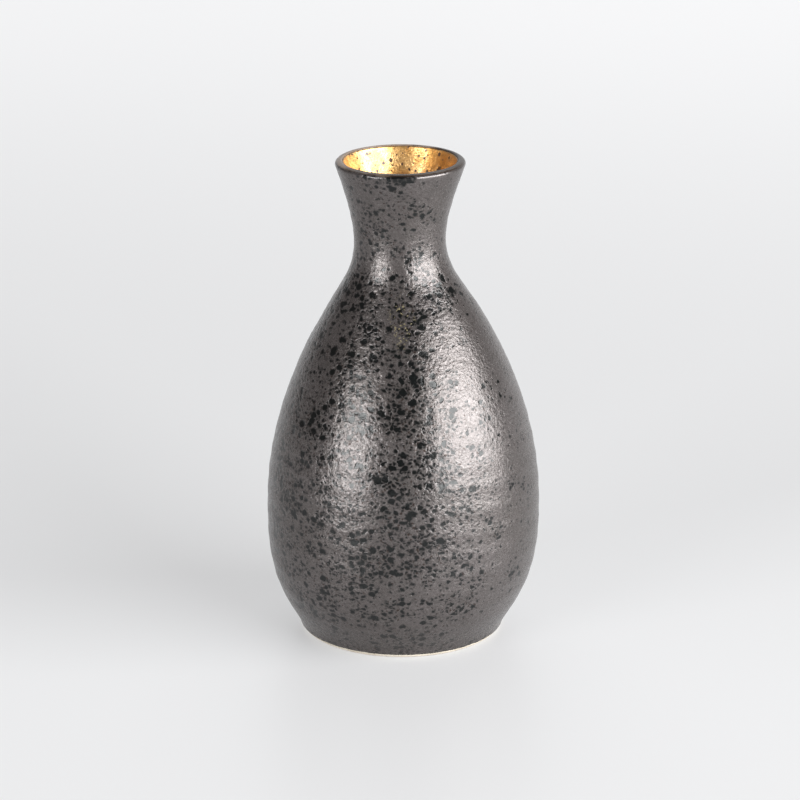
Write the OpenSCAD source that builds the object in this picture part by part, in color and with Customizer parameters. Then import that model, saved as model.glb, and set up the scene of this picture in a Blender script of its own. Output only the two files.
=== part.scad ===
// Sake bottle: a hollow stoneware body of revolution, its glazes, and a gold lined mouth.
// The axis is +Z and the foot ring stands on z = 0. Each outline lies in the plane of
// radius (x) and height (y), and is turned about the axis.

/* [Outer form] */
// Height from the foot ring to the top of the lip
total_h = 140; // [136:1:146]
// Radius of the belly, the widest part
belly_r = 39.7; // [38:0.1:41]
// Height of the widest part
belly_z = 34; // [32:0.5:36]
// Radius of the shoulder, where its curve turns hollow
shoulder_r = 24.2; // [23:0.1:25]
// Height of that point
shoulder_z = 92; // [90:0.5:94]
// Lean of the shoulder at that point, in degrees inward from upright
shoulder_lean = 29.5; // [27:0.5:32]
// Outer radius of the neck, the narrowest part
neck_r = 13.2; // [12.5:0.1:14]
// Height of the narrowest part
neck_z = 116.5; // [115:0.5:118]
// Outer radius of the lip
lip_r = 18.5; // [17.5:0.1:20]
// Lean of the flared mouth at the lip, outside, in degrees from upright
lip_lean = 18; // [15:0.5:24]

/* [Fullness of the curves] */
// Reach of the curve that leaves the foot
foot_reach = 6; // [5:0.5:8]
// Reach of the curve below the belly
low_reach = 22.5; // [18:0.5:24]
// Reach of the curve above the belly
high_reach = 7.5; // [5:0.5:12]
// Reach of the curve below the shoulder point
full_reach = 33.5; // [30:0.5:36]
// Reach of the curve above the shoulder point
slack_reach = 12; // [9:0.5:13]
// Reach of the curve below the neck
throat_reach = 9; // [8:0.5:11]
// Reach of the curve above the neck
rise_reach = 7; // [5:0.5:9]
// Reach of the curve below the lip
lip_reach = 8; // [6:0.5:10]

/* [Foot ring] */
// Radius where the flat of the ring starts to round up outside
foot_r = 28.2; // [27:0.1:29.5]
// Width of the ring's flat
ring_w = 3.8; // [3:0.1:5]
// Rounding of the ring's outer edge
foot_round = 1; // [0.6:0.1:1.4]
// Lean of the wall just above the ring, in degrees from upright
foot_lean = 12; // [8:1:18]
// Depth of the recess inside the ring
recess_h = 2.2; // [1.5:0.1:3]

/* [Wall] */
// Clay thickness at the belly
belly_wall = 3.2; // [2.8:0.1:3.6]
// Clay thickness at the neck
neck_wall = 2.6; // [2.2:0.1:2.8]
// Clay thickness between the recess and the inner floor
floor_wall = 4.6; // [4:0.1:6]
// Width of the lip's oval outer rounding, from its highest point outward
lip_out = 1.7; // [1.5:0.1:2]
// Height of that rounding
lip_drop = 1.15; // [1:0.05:1.4]
// Rounding of the lip's inner side, down to the gold
lip_in = 0.55; // [0.55:0.05:0.8]
// Lean of the mouth at the lip, inside, in degrees from upright
mouth_lean = 20; // [12:1:26]

/* [Glaze and gold] */
// Thickness of every glaze
glaze_t = 0.35; // [0.25:0.05:0.5]
// Thickness of the gold
gold_t = 0.15; // [0.15:0.05:0.25]
// Share of the curve above the foot that is left as bare clay
bare_share = 0.02; // [0.02:0.01:0.08]

/* [Hidden] */
// Steps along a long curve, round an edge, round the lip's inner edge, and round the axis
curve_steps = 24;
edge_steps = 10;
lip_in_steps = 4;
turn_steps = 96;

// Inner floor, and the radius at which it starts to curve up into the wall
floor_z = recess_h + floor_wall;
floor_r = belly_r / 4;
floor_reach = belly_r / 2;
ring_in_r = foot_r - ring_w;
recess_slope = 3;
ceiling_r = ring_in_r - recess_slope;

// Unit vector that leans outward from upright by a
function lean(a) = [sin(a), cos(a)];
// The same vector turned to face out of the bottle
function facing(a) = [cos(a), -sin(a)];

// Centres of the rounded edges, and where the long curves meet them
foot_mid = [foot_r, foot_round];
lip_out_mid = [lip_r - lip_out, total_h - lip_drop];
lip_in_mid = [lip_r - lip_out, total_h - lip_in];
foot_start = foot_mid + (foot_round + glaze_t) * facing(foot_lean);
lip_turn = atan2(lip_drop * sin(lip_lean), lip_out * cos(lip_lean));
lip_end = lip_out_mid + [lip_out * cos(lip_turn), -lip_drop * sin(lip_turn)];
mouth_end = lip_in_mid - (lip_in - glaze_t) * facing(mouth_lean);

// The shoulder point, and the same point on the inside of the clay
shoulder = [shoulder_r, shoulder_z];
shoulder_wall = (belly_wall + neck_wall) / 2;
bore_shoulder = shoulder - (glaze_t + shoulder_wall) * facing(-shoulder_lean);
// Clay radii inside the belly and the neck
bore_belly_r = belly_r - glaze_t - belly_wall;
bore_neck_r = neck_r - glaze_t - neck_wall;

// Outer surface of the glaze, as four curves from the foot up to the lip
low_curve = [
    foot_start,
    foot_start + foot_reach * lean(foot_lean),
    [belly_r, belly_z - low_reach],
    [belly_r, belly_z]
];
full_curve = [
    [belly_r, belly_z],
    [belly_r, belly_z + high_reach],
    shoulder - full_reach * lean(-shoulder_lean),
    shoulder
];
slack_curve = [
    shoulder,
    shoulder + slack_reach * lean(-shoulder_lean),
    [neck_r, neck_z - throat_reach],
    [neck_r, neck_z]
];
flare_curve = [
    [neck_r, neck_z],
    [neck_r, neck_z + rise_reach],
    lip_end - lip_reach * lean(lip_lean),
    lip_end
];

// Inner surface of the clay, as four curves from the floor up to the lip
bowl_curve = [
    [floor_r, floor_z],
    [floor_r + floor_reach, floor_z],
    [bore_belly_r, belly_z - floor_reach],
    [bore_belly_r, belly_z]
];
vault_curve = [
    [bore_belly_r, belly_z],
    [bore_belly_r, belly_z + high_reach],
    bore_shoulder - full_reach * lean(-shoulder_lean),
    bore_shoulder
];
throat_curve = [
    bore_shoulder,
    bore_shoulder + slack_reach * lean(-shoulder_lean),
    [bore_neck_r, neck_z - throat_reach],
    [bore_neck_r, neck_z]
];
mouth_curve = [
    [bore_neck_r, neck_z],
    [bore_neck_r, neck_z + rise_reach],
    mouth_end - lip_reach * lean(mouth_lean),
    mouth_end
];

// Underside of the clay, from the ring's flat up to the ceiling of the recess
recess_curve = [
    [ring_in_r, 0],
    [ring_in_r - recess_slope / 2, 0],
    [ceiling_r + recess_slope / 2, recess_h],
    [ceiling_r, recess_h]
];

// A point on the cubic curve c, and the direction of c there
function at(c, t) =
    pow(1 - t, 3) * c[0] + 3 * pow(1 - t, 2) * t * c[1] + 3 * (1 - t) * pow(t, 2) * c[2] + pow(t, 3) * c[3];
function heading(c, t) =
    pow(1 - t, 2) * (c[1] - c[0]) + 2 * (1 - t) * t * (c[2] - c[1]) + pow(t, 2) * (c[3] - c[2]);
// A vector of length 1, a quarter turn to the right of d
function right_of(d) = [d.y, -d.x] / norm(d);
// Points along c, from the share start of it to its end, each set off to the right
function trace(c, off, start = 0, steps = curve_steps) = [
    for (i = [0 : steps])
        let (t = start + (1 - start) * i / steps)
        at(c, t) + off * right_of(heading(c, t))
];
// Points on an arc about mid, from angle a to angle b
function arc(mid, r, a, b, steps = edge_steps) = [
    for (i = [0 : steps])
        let (turn = a + (b - a) * i / steps)
        mid + r * [cos(turn), sin(turn)]
];
// Points over the oval outer rounding of the lip, each set off outward
function oval(off) = [
    for (i = [0 : edge_steps])
        let (turn = -lip_turn + (90 + lip_turn) * i / edge_steps)
        let (out = [lip_drop * cos(turn), lip_out * sin(turn)])
        lip_out_mid + [lip_out * cos(turn), lip_drop * sin(turn)] + off * out / norm(out)
];
function rest(list) = [for (i = [1 : len(list) - 1]) list[i]];
function reverse(list) = [for (i = [len(list) - 1 : -1 : 0]) list[i]];

// Outer side at a distance off outside the glaze, from the glaze line over the lip
function outer_side(off) = concat(
    trace(low_curve, off, bare_share),
    rest(trace(full_curve, off)),
    rest(trace(slack_curve, off)),
    rest(trace(flare_curve, off)),
    rest(oval(off)),
    rest(arc(lip_in_mid, lip_in + off, 90, 180 - mouth_lean, lip_in_steps))
);
// Inner side at a depth off into the clay, from the axis up to the lip
function inner_side(off) = concat(
    [[0, floor_z - off]],
    trace(bowl_curve, off),
    rest(trace(vault_curve, off)),
    rest(trace(throat_curve, off)),
    rest(trace(mouth_curve, off))
);

// Turns an outline about the axis
module turned(outline) {
    rotate_extrude($fn = turn_steps)
        polygon(outline);
}

// Fired clay: the wall, the lip, the floor and the foot ring
module clay_body() {
    foot_edge = arc(foot_mid, foot_round, -90, -foot_lean);
    color([0.85, 0.80, 0.71])
        turned(concat(
            foot_edge,
            outer_side(-glaze_t),
            rest(reverse(inner_side(0))),
            [[0, recess_h]],
            reverse(trace(recess_curve, 0, 0, edge_steps))
        ));
}

// Dark glaze over the outside and the lip, short of the ground
module outer_glaze() {
    color([0.38, 0.35, 0.34])
        turned(concat(outer_side(0), reverse(outer_side(-glaze_t))));
}

// Dark glaze over the whole inside
module inner_glaze() {
    color([0.17, 0.13, 0.11])
        turned(concat(inner_side(0), reverse(inner_side(-glaze_t))));
}

// Gold over the inner glaze, from the lip down to the throat
module gold_lining() {
    glazed = trace(mouth_curve, -glaze_t);
    gilded = trace(mouth_curve, -glaze_t - gold_t);
    color([0.86, 0.62, 0.27])
        turned(concat(glazed, reverse(gilded)));
}

// Glaze on the ceiling of the recess under the bottle
module base_glaze() {
    color([0.30, 0.27, 0.26])
        translate([0, 0, recess_h - glaze_t])
            cylinder(r = ceiling_r, h = glaze_t, $fn = turn_steps);
}

clay_body();
outer_glaze();
inner_glaze();
gold_lining();
base_glaze();
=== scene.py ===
"""Sake bottle: the looks. Metres in Blender, millimetres in the outlines, +Z up, foot ring on z = 0."""
import math

import bpy
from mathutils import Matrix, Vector, noise


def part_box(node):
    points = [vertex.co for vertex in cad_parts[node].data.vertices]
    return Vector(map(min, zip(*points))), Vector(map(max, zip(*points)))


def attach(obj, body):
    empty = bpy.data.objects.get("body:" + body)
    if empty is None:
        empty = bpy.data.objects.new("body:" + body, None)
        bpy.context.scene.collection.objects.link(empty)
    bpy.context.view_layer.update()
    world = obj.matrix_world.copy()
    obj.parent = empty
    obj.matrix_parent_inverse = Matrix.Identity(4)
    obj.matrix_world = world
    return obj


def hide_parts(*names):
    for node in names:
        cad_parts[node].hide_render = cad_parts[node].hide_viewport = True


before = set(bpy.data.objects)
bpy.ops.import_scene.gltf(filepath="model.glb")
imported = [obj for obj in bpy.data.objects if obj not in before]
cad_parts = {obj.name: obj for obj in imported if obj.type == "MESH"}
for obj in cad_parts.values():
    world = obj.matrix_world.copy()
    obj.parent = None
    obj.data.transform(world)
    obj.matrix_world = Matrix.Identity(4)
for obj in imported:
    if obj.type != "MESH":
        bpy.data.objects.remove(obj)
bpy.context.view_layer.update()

MM = 0.001

# ---------------------------------------------------------------- sizes, in millimetres

outer_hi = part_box("outer_glaze")[1]
liner_lo, liner_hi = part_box("inner_glaze")
gold_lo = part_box("gold_lining")[0]
base_lo, base_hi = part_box("base_glaze")

TOTAL_H = outer_hi.z / MM
BELLY_R = outer_hi.x / MM
BORE_BELLY_R = liner_hi.x / MM
FLOOR_Z = liner_lo.z / MM
NECK_Z = gold_lo.z / MM
RECESS_H = base_hi.z / MM
CEILING_R = base_hi.x / MM
GLAZE_T = (base_hi.z - base_lo.z) / MM
GOLD_T = 0.15

BELLY_Z = 34.0
SHOULDER = Vector((24.2, 92.0))
SHOULDER_LEAN = 29.5
NECK_R = 13.2
NECK_WALL = 2.6
LIP_R = 18.5
LIP_OUT = 1.7
LIP_DROP = 1.15
LIP_IN = 0.55
LIP_LEAN = 18.0
MOUTH_LEAN = 20.0
FOOT_R = 28.2
FOOT_ROUND = 1.0
FOOT_LEAN = 12.0
RING_IN_R = 24.4
BARE_SHARE = 0.02

FOOT_REACH, LOW_REACH, HIGH_REACH, FULL_REACH = 6.0, 22.5, 7.5, 33.5
SLACK_REACH, THROAT_REACH, RISE_REACH, LIP_REACH = 12.0, 9.0, 7.0, 8.0


# ---------------------------------------------------------------- outlines, as (radius, height)


def lean(a):
    """Unit vector leaning outward from upright by a degrees."""
    return Vector((math.sin(math.radians(a)), math.cos(math.radians(a))))


def facing(a):
    """The same vector turned to face out of the bottle."""
    return Vector((math.cos(math.radians(a)), -math.sin(math.radians(a))))


def curve(points, steps, off=0.0, start=0.0):
    """Points along a cubic curve, each set off to the right of the way it runs."""
    a, b, c, d = (Vector(p) for p in points)
    made = []
    for i in range(steps + 1):
        t = start + (1 - start) * i / steps
        u = 1 - t
        at = u**3 * a + 3 * u * u * t * b + 3 * u * t * t * c + t**3 * d
        way = (u * u * (b - a) + 2 * u * t * (c - b) + t * t * (d - c)).normalized()
        made.append(at + off * Vector((way.y, -way.x)))
    return made


def arc(mid, r, a, b, steps):
    """Points on an arc about mid, from angle a to angle b in degrees."""
    turns = (math.radians(a + (b - a) * i / steps) for i in range(steps + 1))
    return [mid + r * Vector((math.cos(t), math.sin(t))) for t in turns]


def oval(off, steps):
    """Points over the oval outer rounding of the lip, each set off outward."""
    made = []
    for i in range(steps + 1):
        turn = -LIP_TURN + (math.pi / 2 + LIP_TURN) * i / steps
        out = Vector((LIP_DROP * math.cos(turn), LIP_OUT * math.sin(turn))).normalized()
        made.append(LIP_OUT_MID + Vector((LIP_OUT * math.cos(turn), LIP_DROP * math.sin(turn))) + off * out)
    return made


def even(points, pitch):
    """The same line with its points pitch apart."""
    run = [0.0]
    for p, q in zip(points, points[1:]):
        run.append(run[-1] + (q - p).length)
    count = max(2, round(run[-1] / pitch))
    made, at = [], 0
    for i in range(count + 1):
        s = run[-1] * i / count
        while at < len(run) - 2 and run[at + 1] < s:
            at += 1
        span = run[at + 1] - run[at]
        made.append(points[at].lerp(points[at + 1], (s - run[at]) / span if span else 0.0))
    return made


FOOT_MID = Vector((FOOT_R, FOOT_ROUND))
LIP_OUT_MID = Vector((LIP_R - LIP_OUT, TOTAL_H - LIP_DROP))
LIP_IN_MID = Vector((LIP_R - LIP_OUT, TOTAL_H - LIP_IN))
FOOT_START = FOOT_MID + (FOOT_ROUND + GLAZE_T) * facing(FOOT_LEAN)
LIP_TURN = math.atan2(-LIP_DROP * facing(LIP_LEAN).y, LIP_OUT * facing(LIP_LEAN).x)
LIP_END = LIP_OUT_MID + Vector((LIP_OUT * math.cos(LIP_TURN), -LIP_DROP * math.sin(LIP_TURN)))
MOUTH_END = LIP_IN_MID - (LIP_IN - GLAZE_T) * facing(MOUTH_LEAN)
BELLY_WALL = BELLY_R - GLAZE_T - BORE_BELLY_R
BORE_NECK_R = NECK_R - GLAZE_T - NECK_WALL
BORE_SHOULDER = SHOULDER - (GLAZE_T + (BELLY_WALL + NECK_WALL) / 2) * facing(-SHOULDER_LEAN)

LOW = [
    FOOT_START,
    FOOT_START + FOOT_REACH * lean(FOOT_LEAN),
    (BELLY_R, BELLY_Z - LOW_REACH),
    (BELLY_R, BELLY_Z),
]
FULL = [
    (BELLY_R, BELLY_Z),
    (BELLY_R, BELLY_Z + HIGH_REACH),
    SHOULDER - FULL_REACH * lean(-SHOULDER_LEAN),
    SHOULDER,
]
SLACK = [
    SHOULDER,
    SHOULDER + SLACK_REACH * lean(-SHOULDER_LEAN),
    (NECK_R, NECK_Z - THROAT_REACH),
    (NECK_R, NECK_Z),
]
FLARE = [(NECK_R, NECK_Z), (NECK_R, NECK_Z + RISE_REACH), LIP_END - LIP_REACH * lean(LIP_LEAN), LIP_END]

FLOOR_R, FLOOR_REACH = BELLY_R / 4, BELLY_R / 2
BOWL = [
    (FLOOR_R, FLOOR_Z),
    (FLOOR_R + FLOOR_REACH, FLOOR_Z),
    (BORE_BELLY_R, BELLY_Z - FLOOR_REACH),
    (BORE_BELLY_R, BELLY_Z),
]
VAULT = [
    (BORE_BELLY_R, BELLY_Z),
    (BORE_BELLY_R, BELLY_Z + HIGH_REACH),
    BORE_SHOULDER - FULL_REACH * lean(-SHOULDER_LEAN),
    BORE_SHOULDER,
]
THROAT = [
    BORE_SHOULDER,
    BORE_SHOULDER + SLACK_REACH * lean(-SHOULDER_LEAN),
    (BORE_NECK_R, NECK_Z - THROAT_REACH),
    (BORE_NECK_R, NECK_Z),
]
MOUTH = [
    (BORE_NECK_R, NECK_Z),
    (BORE_NECK_R, NECK_Z + RISE_REACH),
    MOUTH_END - LIP_REACH * lean(MOUTH_LEAN),
    MOUTH_END,
]

FINE = 64


def outer_line(off):
    """Outer side, off outside the glaze, from the glaze line over the lip."""
    side = curve(LOW, FINE, off, BARE_SHARE) + curve(FULL, FINE, off)[1:]
    side += curve(SLACK, FINE, off)[1:] + curve(FLARE, FINE, off)[1:]
    return side, oval(off, FINE) + arc(LIP_IN_MID, LIP_IN + off, 90, 180 - MOUTH_LEAN, 16)[1:]


def inner_line(off):
    """Inner side, off into the clay, from the floor up to the lip."""
    line = curve(BOWL, FINE, off) + curve(VAULT, FINE, off)[1:]
    return line + curve(THROAT, FINE, off)[1:] + curve(MOUTH, FINE, off)[1:]


# ---------------------------------------------------------------- the hand of the maker


def smooth(a, b, x):
    t = min(1.0, max(0.0, (x - a) / (b - a)))
    return t * t * (3 - 2 * t)


def handmade(p):
    """Leans and wavers a point in millimetres, the same way for every layer."""
    x, y, z = p
    sway = 0.07 * smooth(36, 80, z) - 1.15 * smooth(88, 120, z) - 0.55 * (1 - smooth(0, 34, z))
    sway += 0.16 * smooth(124, 138, z)
    turn = math.atan2(y, x)
    round_off = 0.0012 * (1 + math.sin(2 * turn + 0.7 + z / 60)) + 0.0006 * (1 + math.sin(3 * turn + z / 35))
    full = 0.011 * smooth(74, 86, z) * (1 - smooth(86, 98, z)) * max(0, -math.cos(turn))
    full += 0.011 * smooth(90, 98, z) * (1 - smooth(101, 108, z))
    k = 1 + full - round_off * smooth(0, 20, z)
    drop = 0.12 * (1 + math.sin(turn - 0.6)) * smooth(100, TOTAL_H, z)
    return Vector((x * k + sway, y * k, z - drop))


def thrown(p, turn):
    """Depth in millimetres of the throwing rings and slow dents of the outer skin."""
    z = p.z
    wander = 2.2 * noise.noise(p / 26)
    rings = math.sin(2 * math.pi * (z / 6.3 + turn / (2 * math.pi)) + wander)
    grip = smooth(6, 16, z) * (1 - 0.7 * smooth(50, 80, z)) * (1 - smooth(126, 134, z))
    dents = noise.noise(p / 17) + 0.5 * noise.noise(p / 7)
    return 0.055 * (rings - 1) * grip + 0.05 * (dents - 0.8) * smooth(3, 12, z) * (1 - smooth(132, 137, z))


# ---------------------------------------------------------------- meshes


def turned(name, outline, around, relief=None):
    """A closed mesh: an outline turned about the axis, with one point where it meets the axis."""
    points, faces, rows = [], [], []
    last = len(outline) - 1
    for j, q in enumerate(outline):
        if q.x < 1e-6:
            rows.append([len(points)] * around)
            points.append(handmade(Vector((0, 0, q.y))) * MM)
            continue
        rows.append(list(range(len(points), len(points) + around)))
        if relief:
            before, after = outline[max(j - 1, 0)], outline[min(j + 1, last)]
            way = (after - before).normalized()
        for i in range(around):
            turn = 2 * math.pi * i / around
            c, s = math.cos(turn), math.sin(turn)
            p = Vector((q.x * c, q.x * s, q.y))
            if relief:
                p += relief(p, turn, j) * Vector((way.y * c, way.y * s, -way.x))
            points.append(handmade(p) * MM)
    closed = outline[0].x > 1e-6
    pairs = list(zip(rows, rows[1:])) + ([(rows[-1], rows[0])] if closed else [])
    for low, high in pairs:
        for i in range(around):
            k = (i + 1) % around
            face = list(dict.fromkeys((low[i], low[k], high[k], high[i])))
            if len(face) > 2:
                faces.append(face)
    mesh = bpy.data.meshes.new(name)
    mesh.from_pydata(points, [], faces)
    mesh.shade_smooth()
    piece = bpy.data.objects.new(name, mesh)
    bpy.context.collection.objects.link(piece)
    return piece


def keep(piece, node, material):
    """Sets the piece on the bottle's one body, in the place of a CAD node."""
    piece.data.materials.append(material)
    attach(piece, "root")
    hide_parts(node)


# ---------------------------------------------------------------- node graphs


class Graph:
    """Short names for the nodes that shader and geometry graphs share."""

    def __init__(self, tree):
        self.tree = tree

    def put(self, kind, ins=(), **props):
        node = self.tree.nodes.new(kind)
        for key, value in props.items():
            setattr(node, key, value)
        for key, value in dict(ins).items():
            if isinstance(value, bpy.types.NodeSocket):
                self.tree.links.new(value, node.inputs[key])
            else:
                node.inputs[key].default_value = value
        return node

    def math(self, how, a, b=0.0, clamp=False):
        return self.put("ShaderNodeMath", {0: a, 1: b}, operation=how, use_clamp=clamp).outputs[0]

    def vec(self, how, a, b=(0, 0, 0)):
        return self.put("ShaderNodeVectorMath", {0: a, 1: b}, operation=how).outputs[0]

    def scale(self, a, k):
        return self.put("ShaderNodeVectorMath", {0: a, "Scale": k}, operation="SCALE").outputs[0]

    def noise(self, at, size, detail=2.0, rough=0.5):
        """Noise whose features are about size millimetres."""
        ins = {"Vector": at, "Scale": 1 / size, "Detail": detail, "Roughness": rough}
        return self.put("ShaderNodeTexNoise", ins).outputs

    def cells(self, at, size):
        return self.put("ShaderNodeTexVoronoi", {"Vector": at, "Scale": 1 / size}).outputs

    def ramp(self, x, a, b, lo=0.0, hi=1.0):
        """Smooth step of x from a to b, onto lo to hi."""
        ins = {0: x, 1: a, 2: b, 3: lo, 4: hi}
        return self.put("ShaderNodeMapRange", ins, interpolation_type="SMOOTHSTEP").outputs[0]

    def mix(self, k, a, b):
        ins = {0: k, 6: a, 7: b}
        return self.put("ShaderNodeMix", ins, data_type="RGBA").outputs[2]

    def blend(self, k, a, b):
        return self.put("ShaderNodeMix", {0: k, 2: a, 3: b}, data_type="FLOAT").outputs[0]


def material(name):
    """A new material, its graph, its shader and its place in millimetres."""
    made = bpy.data.materials.new(name)
    made.use_nodes = True
    g = Graph(made.node_tree)
    shader = made.node_tree.nodes["Principled BSDF"]
    place = g.scale(g.put("ShaderNodeTexCoord").outputs["Object"], 1 / MM)
    return made, g, shader, place


def drive(g, shader, **values):
    """Links sockets, or sets constants, on the shader. An underscore stands for a space."""
    for key, value in values.items():
        socket = shader.inputs[key.replace("_", " ")]
        if isinstance(value, bpy.types.NodeSocket):
            g.tree.links.new(value, socket)
        else:
            socket.default_value = value


# ---------------------------------------------------------------- glaze


def spots(g, place):
    """Depth of the iron spots, 0 outside to 1 inside, with the tiny ones apart, and the height."""
    part = g.put("ShaderNodeSeparateXYZ", {0: place}).outputs
    drift = g.math("MULTIPLY", g.math("SUBTRACT", g.noise(place, 8, 2, 0.5)[0], 0.5), 30)
    across = g.math("ABSOLUTE", g.math("ADD", g.math("SUBTRACT", part[0], 1.5), drift))
    band = g.math("MULTIPLY", g.ramp(across, 13, 3), g.ramp(part[1], 4, -4))
    band = g.math("MULTIPLY", band, g.math("MULTIPLY", g.ramp(part[2], 12, 40), g.ramp(part[2], 118, 102)))
    drip = g.math("MULTIPLY", g.ramp(g.math("ABSOLUTE", part[0]), 5.5, 2.5), g.ramp(part[1], 4, -4))
    drip = g.math("MULTIPLY", drip, g.ramp(part[2], TOTAL_H - 3.2, TOTAL_H - 2.2))
    patch = g.ramp(g.math("ADD", drip, g.noise(place, 1.8, 2, 0.5)[0]), 1.2, 1.5)
    side = g.math("MULTIPLY", g.math("ADD", part[0], g.math("MULTIPLY", part[1], 0.5)), 1 / BELLY_R)
    thin = g.math("ADD", g.ramp(side, -0.12, 0.45, 0.0, 0.22), g.ramp(part[2], 1, 22, 0.10, 0.0))
    thin = g.math("SUBTRACT", thin, g.ramp(side, -0.1, -0.6, 0.0, 0.05))
    crowd = g.math("MULTIPLY", g.math("SUBTRACT", g.noise(place, 9, 2, 0.6)[0], 0.5), 1.05)
    push = g.math("SUBTRACT", g.math("ADD", crowd, g.math("MULTIPLY", band, 0.13)), thin)
    push = g.math("SUBTRACT", push, g.ramp(part[2], 104, 120, 0.0, 0.08))
    warp = g.scale(g.vec("SUBTRACT", g.noise(place, 1.6, 1, 0.5)[1], (0.5, 0.5, 0.5)), 1.5)
    bent = g.vec("MULTIPLY", g.vec("ADD", place, warp), (1, 1, 1.2))
    found = patch
    for size, widest, least in ((2.8, 0.46, 0.04), (1.8, 0.46, 0.09), (1.15, 0.44, 0.10)):
        cell = g.cells(bent, size)
        draw = g.put("ShaderNodeSeparateXYZ", {0: cell[1]}).outputs[0]
        reach = g.math("ADD", g.math("MULTIPLY", g.math("POWER", draw, 2.1), widest), least)
        reach = g.math("MINIMUM", g.math("ADD", reach, push), 0.43)
        depth = g.math("MULTIPLY", g.math("SUBTRACT", reach, cell[0]), size)
        layer = g.ramp(depth, -0.28, 0.28)
        found = g.math("MAXIMUM", found, layer)
    cell = g.cells(bent, 0.85)
    draw = g.math("POWER", g.put("ShaderNodeSeparateXYZ", {0: cell[1]}).outputs[1], 2.0)
    reach = g.math("ADD", g.math("MULTIPLY", draw, 0.42), g.math("MULTIPLY", push, 0.5))
    depth = g.math("SUBTRACT", reach, cell[0])
    return {"spot": found, "tiny": g.ramp(depth, -0.10, 0.16), "height": part[2], "part": part}


def beaten(g, place):
    """The leathery unevenness of the thick glaze, about 0.5 all over."""
    wide = g.noise(place, 2.4, 1, 0.5)[0]
    close = g.noise(place, 1.4, 1, 0.5)[0]
    return g.math("ADD", g.math("MULTIPLY", wide, 0.5), g.math("MULTIPLY", close, 0.5))


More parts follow.
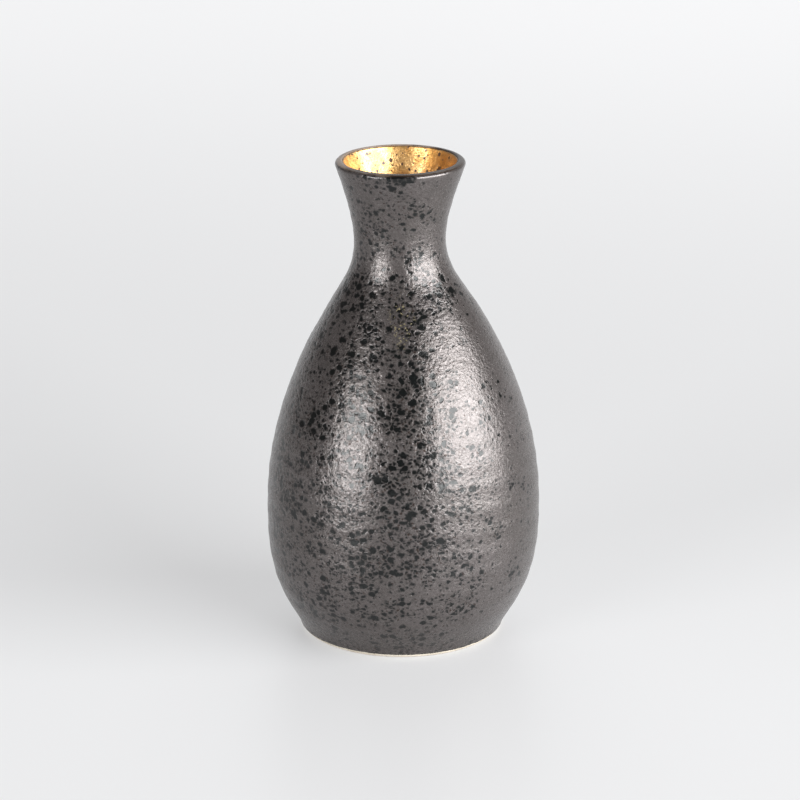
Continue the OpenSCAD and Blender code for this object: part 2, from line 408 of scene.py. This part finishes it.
def iron_glaze():
    """Satin brown grey glaze with glossy black iron spots, fine pits and a darker, glossier lip."""
    made, g, shader, place = material("iron_glaze")
    s = spots(g, place)
    wide = g.noise(place, 30, 2, 0.5)[0]
    mid = g.noise(place, 3.5, 3, 0.6)[0]
    bent = g.vec("ADD", place, g.scale(g.noise(place, 1.5, 1, 0.5)[1], 1.2))
    crease = g.math("ABSOLUTE", g.math("SUBTRACT", g.noise(bent, 1.1, 2, 0.55)[0], 0.5))
    fine = g.noise(g.vec("MULTIPLY", bent, (1, 1, 1.4)), 0.6, 2, 0.6)[0]
    base = g.mix(g.ramp(wide, 0.35, 0.65), (0.098, 0.086, 0.083, 1), (0.113, 0.100, 0.098, 1))
    base = g.mix(g.ramp(mid, 0.4, 0.75, 0, 0.5), base, (0.075, 0.069, 0.065, 1))
    # Fine grain, partly real mottling and partly painted light: lighter on the crests of the fine relief as
    # painted highlight, darker in its troughs as painted shade.
    base = g.mix(g.ramp(fine, 0.5, 0.72, 0, 0.6), base, (0.17, 0.156, 0.152, 1))
    base = g.mix(g.ramp(fine, 0.48, 0.28, 0, 0.6), base, (0.050, 0.042, 0.039, 1))
    # Painted shade: the glaze is darkened along the bottoms of the creases in the relief.
    base = g.mix(g.ramp(crease, 0.03, 0.0, 0, 0.4), base, (0.045, 0.038, 0.036, 1))
    base = g.mix(g.math("MULTIPLY", s["tiny"], 0.85), base, (0.026, 0.015, 0.011, 1))
    base = g.mix(s["spot"], base, (0.0035, 0.0045, 0.0045, 1))
    rim = g.math("ADD", s["height"], g.math("MULTIPLY", mid, 0.6))
    lip = g.ramp(rim, TOTAL_H - 0.45, TOTAL_H - 0.1)
    # Painted reflection: the lip crest turns from dark brown to pale tan towards the left, the back and the
    # two sides, in random patches, where the glossy lip mirrors the pale backdrop.
    lip_reflection = g.math("SUBTRACT", g.noise(place, 9, 2, 0.5)[0], g.math("MULTIPLY", s["part"][0], 0.014))
    back = g.math("MULTIPLY", s["part"][1], 0.010)
    ends = g.ramp(g.math("ABSOLUTE", s["part"][0]), 12, 18, 0.0, 0.14)
    lip_reflection = g.math("ADD", g.math("ADD", lip_reflection, back), ends)
    crest = g.mix(g.ramp(lip_reflection, 0.5, 0.8), (0.026, 0.015, 0.009, 1), (0.24, 0.175, 0.13, 1))
    # Painted shade: the glaze is darkened over the lowest 18 mm, most towards the foot.
    base = g.mix(g.ramp(s["height"], 18, 2, 0, 0.35), base, (0.055, 0.048, 0.046, 1))
    base = g.mix(g.math("MULTIPLY", lip, 0.9), base, crest)
    # Painted reflection: a small patch of warm yellow glints on the front of the shoulder, put into the
    # colour.
    from_heart = g.vec("MULTIPLY", g.vec("SUBTRACT", place, (-0.5, -24.0, 100.0)), (1 / 4.2, 0.1, 1 / 9.0))
    heart = g.put("ShaderNodeVectorMath", {0: from_heart}, operation="LENGTH").outputs["Value"]
    glint_cells = g.cells(bent, 0.9)[0]
    glint = g.math("MULTIPLY", g.ramp(heart, 1.2, 0.4), g.ramp(glint_cells, 0.34, 0.22))
    glint = g.math("MULTIPLY", glint, g.ramp(mid, 0.42, 0.55))
    base = g.mix(glint, base, (0.36, 0.31, 0.18, 1))
    gloss = g.ramp(s["height"], TOTAL_H - 3.2, TOTAL_H - 1.4)
    rough = g.ramp(fine, 0.3, 0.7, 0.30, 0.24)
    rough = g.blend(g.math("MAXIMUM", s["spot"], g.math("MULTIPLY", gloss, 0.45)), rough, 0.17)
    even_out = g.math("MULTIPLY", g.math("SUBTRACT", beaten(g, place), 0.5), 0.34)
    relief = g.math("ADD", g.math("MULTIPLY", g.math("SUBTRACT", fine, 0.5), 0.085), even_out)
    fold = g.math("SUBTRACT", g.math("MINIMUM", crease, 0.06), 0.05)
    relief = g.math("ADD", relief, g.math("MULTIPLY", fold, 0.2))
    calm = g.math("MULTIPLY", g.blend(gloss, 1.0, 0.2), g.blend(s["spot"], 1.0, 0.35))
    relief = g.math("SUBTRACT", g.math("MULTIPLY", relief, calm), g.math("MULTIPLY", s["spot"], 0.025))
    bump = g.put("ShaderNodeBump", {"Height": relief, "Strength": 1.0, "Distance": MM})
    metal = g.blend(lip, g.blend(g.math("SUBTRACT", s["spot"], glint, True), 0.6, 0.25), 0.0)
    drive(g, shader, Base_Color=base, Roughness=rough, Metallic=metal, Normal=bump.outputs[0])
    return made


def liner_glaze():
    """Dark glossy glaze of the inside, mottled brown."""
    made, g, shader, place = material("liner_glaze")
    mottle = g.noise(place, 4, 4, 0.6)[0]
    colour = g.mix(g.ramp(mottle, 0.35, 0.7), (0.022, 0.015, 0.012, 1), (0.06, 0.042, 0.032, 1))
    skin = g.noise(place, 1.6, 2, 0.5)[0]
    bump = g.put("ShaderNodeBump", {"Height": skin, "Strength": 0.4, "Distance": 0.1 * MM})
    rough = g.ramp(mottle, 0.3, 0.7, 0.16, 0.28)
    drive(g, shader, Base_Color=colour, Roughness=rough, Normal=bump.outputs[0])
    return made


def gold_lustre():
    """Satin gold, worn to the brown glaze in small pits and along its edges."""
    made, g, shader, place = material("gold_lustre")
    height = g.put("ShaderNodeSeparateXYZ", {0: place}).outputs[2]
    wide = g.noise(place, 6, 3, 0.6)[0]
    fine = g.noise(place, 0.7, 2, 0.6)[0]
    warp = g.scale(g.vec("SUBTRACT", g.noise(place, 1.0, 1, 0.5)[1], (0.5, 0.5, 0.5)), 0.6)
    cell = g.cells(g.vec("ADD", place, warp), 1.7)
    draw = g.put("ShaderNodeSeparateXYZ", {0: cell[1]}).outputs[0]
    reach = g.math("ADD", g.math("MULTIPLY", draw, 0.24), 0.13)
    pit = g.ramp(g.math("SUBTRACT", reach, cell[0]), -0.03, 0.06)
    edge = g.ramp(g.math("ADD", height, g.math("MULTIPLY", wide, 0.8)), TOTAL_H - 0.25, TOTAL_H + 0.1)
    bare = g.math("MAXIMUM", pit, edge)
    colour = g.mix(g.ramp(wide, 0.35, 0.65), (0.62, 0.32, 0.09, 1), (0.86, 0.55, 0.23, 1))
    smudge = g.noise(place, 2.2, 3, 0.65)[0]
    colour = g.mix(g.ramp(smudge, 0.5, 0.72, 0, 0.6), colour, (0.42, 0.20, 0.06, 1))
    colour = g.mix(bare, colour, (0.09, 0.04, 0.014, 1))
    rough = g.ramp(g.math("ADD", fine, smudge), 0.7, 1.3, 0.34, 0.50)
    relief = g.math("ADD", g.math("MULTIPLY", fine, 0.10), g.math("MULTIPLY", smudge, 0.18))
    relief = g.math("SUBTRACT", relief, g.math("MULTIPLY", pit, 0.05))
    bump = g.put("ShaderNodeBump", {"Height": relief, "Strength": 1.0, "Distance": MM})
    metal = g.blend(bare, 1.0, 0.0)
    drive(g, shader, Base_Color=colour, Roughness=rough, Metallic=metal, Normal=bump.outputs[0])
    drive(g, shader, Coat_Weight=0.5, Coat_Roughness=0.15)
    return made


def bare_clay():
    """Pale unglazed stoneware with fine grog and turning marks."""
    made, g, shader, place = material("bare_clay")
    part = g.put("ShaderNodeSeparateXYZ", {0: place}).outputs
    tone = g.noise(place, 7, 3, 0.6)[0]
    grit = g.noise(place, 0.45, 2, 0.7)[0]
    grog = g.cells(place, 0.9)[0]
    colour = g.mix(g.ramp(tone, 0.35, 0.7), (0.44, 0.39, 0.32, 1), (0.54, 0.49, 0.415, 1))
    colour = g.mix(g.ramp(grit, 0.6, 0.8, 0, 0.5), colour, (0.45, 0.36, 0.26, 1))
    colour = g.mix(g.ramp(grog, 0.16, 0.08, 0, 0.6), colour, (0.28, 0.18, 0.11, 1))
    # Painted shade: the clay is darkened in patches over its lowest half millimetre, where the foot ring
    # meets the floor.
    foot_shade = g.math("MULTIPLY", g.ramp(part[2], 0.5, 0.0), g.ramp(tone, 0.45, 0.6, 0, 0.7))
    colour = g.mix(foot_shade, colour, (0.36, 0.31, 0.26, 1))
    flat = g.put("ShaderNodeCombineXYZ", {0: part[0], 1: part[1]}).outputs[0]
    radius = g.put("ShaderNodeVectorMath", {0: flat}, operation="LENGTH").outputs["Value"]
    rings = g.math("SINE", g.math("MULTIPLY", g.math("ADD", radius, g.math("MULTIPLY", tone, 1.5)), 9.0))
    relief = g.math("ADD", g.math("MULTIPLY", rings, 0.012), g.math("MULTIPLY", grit, 0.07))
    bump = g.put("ShaderNodeBump", {"Height": relief, "Strength": 1.0, "Distance": MM})
    drive(g, shader, Base_Color=colour, Roughness=g.ramp(grit, 0.3, 0.7, 0.75, 0.92), Normal=bump.outputs[0])
    return made


def base_glaze():
    """The same glaze under the foot, thinner and calmer."""
    made, g, shader, place = material("base_glaze")
    mid = g.noise(place, 5, 3, 0.6)[0]
    fine = g.noise(place, 0.8, 2, 0.6)[0]
    cell = g.cells(place, 2.4)
    reach = g.math("MULTIPLY", g.put("ShaderNodeSeparateXYZ", {0: cell[1]}).outputs[0], 0.28)
    spot = g.ramp(g.math("SUBTRACT", reach, cell[0]), -0.04, 0.05)
    colour = g.mix(g.ramp(mid, 0.35, 0.7), (0.10, 0.085, 0.08, 1), (0.075, 0.062, 0.055, 1))
    colour = g.mix(spot, colour, (0.012, 0.012, 0.012, 1))
    bump = g.put("ShaderNodeBump", {"Height": fine, "Strength": 0.7, "Distance": 0.1 * MM})
    rough = g.blend(spot, 0.36, 0.18)
    metal = g.blend(spot, 0.25, 0.0)
    drive(g, shader, Base_Color=colour, Roughness=rough, Metallic=metal, Normal=bump.outputs[0])
    return made


# ---------------------------------------------------------------- the five pieces

AROUND = 384
SKIN_PITCH = 0.78
LIP_PITCH = 0.30
HIDDEN_PITCH = 6.0


def sink(piece):
    """Presses the spots and the beaten unevenness of the glaze into the mesh itself."""
    tree = bpy.data.node_groups.new("relief", "GeometryNodeTree")
    tree.interface.new_socket("Geometry", in_out="INPUT", socket_type="NodeSocketGeometry")
    tree.interface.new_socket("Geometry", in_out="OUTPUT", socket_type="NodeSocketGeometry")
    g = Graph(tree)
    place = g.scale(g.put("GeometryNodeInputPosition").outputs[0], 1 / MM)
    s = spots(g, place)
    shown = g.put("GeometryNodeInputNamedAttribute", {"Name": "shown"}, data_type="FLOAT").outputs[0]
    hollow = g.math("MAXIMUM", g.math("SUBTRACT", beaten(g, place), 0.33), 0.0)
    depth = g.math("ADD", g.math("MULTIPLY", s["spot"], 0.05), g.math("MULTIPLY", hollow, 0.30))
    calm = g.ramp(s["height"], TOTAL_H - 3.5, TOTAL_H - 1.5, 1.0, 0.25)
    depth = g.math("MULTIPLY", g.math("MULTIPLY", depth, calm), shown)
    normal = g.put("GeometryNodeInputNormal").outputs[0]
    offset = g.scale(normal, g.math("MULTIPLY", depth, -MM))
    start = g.put("NodeGroupInput").outputs[0]
    moved = g.put("GeometryNodeSetPosition", {"Geometry": start, "Offset": offset}).outputs[0]
    g.put("NodeGroupOutput", {0: moved})
    modifier = piece.modifiers.new("relief", "NODES")
    modifier.node_group = tree
    ready = piece.evaluated_get(bpy.context.evaluated_depsgraph_get())
    made = bpy.data.meshes.new_from_object(ready)
    piece.modifiers.clear()
    piece.data = made
    bpy.data.node_groups.remove(tree)


def outer_skin():
    side, lip = outer_line(0)
    outside = even(side, SKIN_PITCH) + even(lip, LIP_PITCH)[1:]
    under_side, under_lip = outer_line(-GLAZE_T)
    inside = even(under_side, HIDDEN_PITCH) + even(under_lip, 1.2)[1:]
    shown = len(outside)

    def relief(p, turn, j):
        return thrown(p, turn) if j < shown else 0.0

    piece = turned("outer_glaze_skin", outside + inside[::-1], AROUND, relief)
    shade = piece.data.attributes.new("shown", "FLOAT", "POINT")
    for i, value in enumerate(shade.data):
        value.value = 1.0 if i < shown * AROUND else 0.0
    sink(piece)
    keep(piece, "outer_glaze", iron_glaze())


def inner_skin():
    outline = [Vector((0, FLOOR_Z + GLAZE_T))] + even(inner_line(-GLAZE_T), 1.5)
    outline += even(inner_line(0), 4.0)[::-1] + [Vector((0, FLOOR_Z))]
    keep(turned("inner_glaze_skin", outline, 160), "inner_glaze", liner_glaze())


def gold_skin():
    glazed = curve(MOUTH, FINE, -GLAZE_T)
    gilded = curve(MOUTH, FINE, -GLAZE_T - GOLD_T)
    outline = even(glazed, 2.0) + even(gilded, 0.3)[::-1]
    keep(turned("gold_lining_skin", outline, 320), "gold_lining", gold_lustre())


def clay_wall():
    ring = arc(FOOT_MID, FOOT_ROUND, -90, -FOOT_LEAN, 12)
    flat = [Vector((RING_IN_R + (FOOT_R - RING_IN_R) * i / 12, 0)) for i in range(1, 12)]
    slope = RING_IN_R - CEILING_R
    from_ceiling = [(CEILING_R, RECESS_H), (CEILING_R + slope / 2, RECESS_H)]
    recess = curve(from_ceiling + [(RING_IN_R - slope / 2, 0), (RING_IN_R, 0)], 16)
    side, lip = outer_line(-GLAZE_T)
    outline = [Vector((0, RECESS_H))] + recess + flat + ring
    outline += even(side, 2.0) + even(lip, 0.5)[1:]
    outline += even(inner_line(0), 4.0)[::-1][1:] + [Vector((0, FLOOR_Z))]
    keep(turned("clay_wall", outline, 256), "clay_body", bare_clay())


def base_skin():
    under = [Vector((CEILING_R * i / 24, RECESS_H - GLAZE_T)) for i in range(25)]
    over = [Vector((CEILING_R * i / 4, RECESS_H)) for i in range(5)]
    keep(turned("base_glaze_skin", under + over[::-1], 160), "base_glaze", base_glaze())


outer_skin()
inner_skin()
gold_skin()
clay_wall()
base_skin()

# ---------------------------------------------------------------- floor, light and camera


def pale_floor():
    """A wide sheet of pale acrylic with a painted glow of its own, brighter towards the back and a little to
    the right, and seen only from above.
    """
    half = 4.0
    mesh = bpy.data.meshes.new("floor")
    corners = [(-half, -half, 0), (half, -half, 0), (half, half, 0), (-half, half, 0)]
    mesh.from_pydata(corners, [], [(0, 1, 2, 3)])
    floor = bpy.data.objects.new("floor", mesh)
    bpy.context.collection.objects.link(floor)
    made = bpy.data.materials.new("pale_floor")
    made.use_nodes = True
    g = Graph(made.node_tree)
    shader = made.node_tree.nodes["Principled BSDF"]
    place = g.put("ShaderNodeSeparateXYZ", {0: g.put("ShaderNodeTexCoord").outputs["Object"]}).outputs
    # Painted light: the floor glows, a little less just behind the bottle, then more towards the back, and a
    # little more to the right.
    glow = g.math("ADD", g.ramp(place[1], -0.08, 0.15, 0.42, 0.355), g.ramp(place[1], 0.15, 0.95, 0.0, 0.165))
    glow = g.math("ADD", glow, g.ramp(place[0], -0.16, 0.16, 0.0, 0.02))
    drive(g, shader, Base_Color=(0.36, 0.36, 0.365, 1), Roughness=0.4)
    drive(g, shader, Emission_Color=(0.985, 0.99, 1.0, 1), Emission_Strength=glow)
    clear = g.put("ShaderNodeBsdfTransparent").outputs[0]
    behind = g.put("ShaderNodeNewGeometry").outputs["Backfacing"]
    both = g.put("ShaderNodeMixShader", {0: behind, 1: shader.outputs[0], 2: clear})
    g.tree.links.new(both.outputs[0], made.node_tree.nodes["Material Output"].inputs[0])
    mesh.materials.append(made)


def softbox(name, azimuth, elevation, distance, wide, high, glow, colour=(0.985, 1, 1)):
    """A rectangle of radiance glow that faces the middle of the bottle. Azimuth 0 is the camera's side."""
    a, e = math.radians(azimuth), math.radians(elevation)
    back = Vector((math.sin(a) * math.cos(e), -math.cos(a) * math.cos(e), math.sin(e)))
    lamp = bpy.data.lights.new(name, "AREA")
    lamp.shape = "RECTANGLE"
    lamp.size, lamp.size_y = wide, high
    lamp.energy = glow * math.pi * wide * high
    lamp.color = colour
    holder = bpy.data.objects.new(name, lamp)
    holder.location = MIDDLE + back * distance
    holder.rotation_euler = back.to_track_quat("Z", "Y").to_euler()
    bpy.context.collection.objects.link(holder)


def surround():
    """Pale to the camera, and dim with a bright back wall to everything else."""
    world = bpy.data.worlds.new("studio")
    bpy.context.scene.world = world
    world.use_nodes = True
    g = Graph(world.node_tree)
    way = g.put("ShaderNodeSeparateXYZ", {0: g.put("ShaderNodeTexCoord").outputs["Generated"]}).outputs
    wall = g.ramp(way[1], 0.55, 0.95)
    glow = g.mix(wall, (0.172, 0.157, 0.154, 1), (0.70, 0.71, 0.72, 1))
    seen = g.mix(g.put("ShaderNodeLightPath").outputs["Is Camera Ray"], glow, (0.82, 0.82, 0.83, 1))
    back = world.node_tree.nodes["Background"]
    g.tree.links.new(seen, back.inputs[0])


MIDDLE = Vector((0, 0, TOTAL_H / 2 * MM))
softbox("key_right", 60, 16, 4.0, 4.6, 2.5, 11.8)
softbox("fill_left", -47, 10, 4.0, 1.9, 1.8, 12.0)
softbox("back_top", 180, 52, 2.6, 2.4, 1.4, 1.2)
surround()
pale_floor()

CAMERA_PITCH = 18.65
CAMERA_BACK = 1.009
SENSOR_WIDTH = 36
LENS = 157.5
# The bottle's axis stands a little right of the frame's centre, and its middle a little above.
AIM = MIDDLE + Vector((-0.00099, 0, -0.0018))


def camera():
    made = bpy.data.cameras.new("camera")
    made.sensor_width = SENSOR_WIDTH
    made.lens = LENS
    holder = bpy.data.objects.new("camera", made)
    e = math.radians(CAMERA_PITCH)
    holder.location = AIM + CAMERA_BACK * Vector((0, -math.cos(e), math.sin(e)))
    holder.rotation_euler = (math.pi / 2 - e, 0, 0)
    made.clip_start = 0.01
    bpy.context.collection.objects.link(holder)
    bpy.context.scene.camera = holder


camera()
bpy.context.scene.view_settings.view_transform = "Standard"
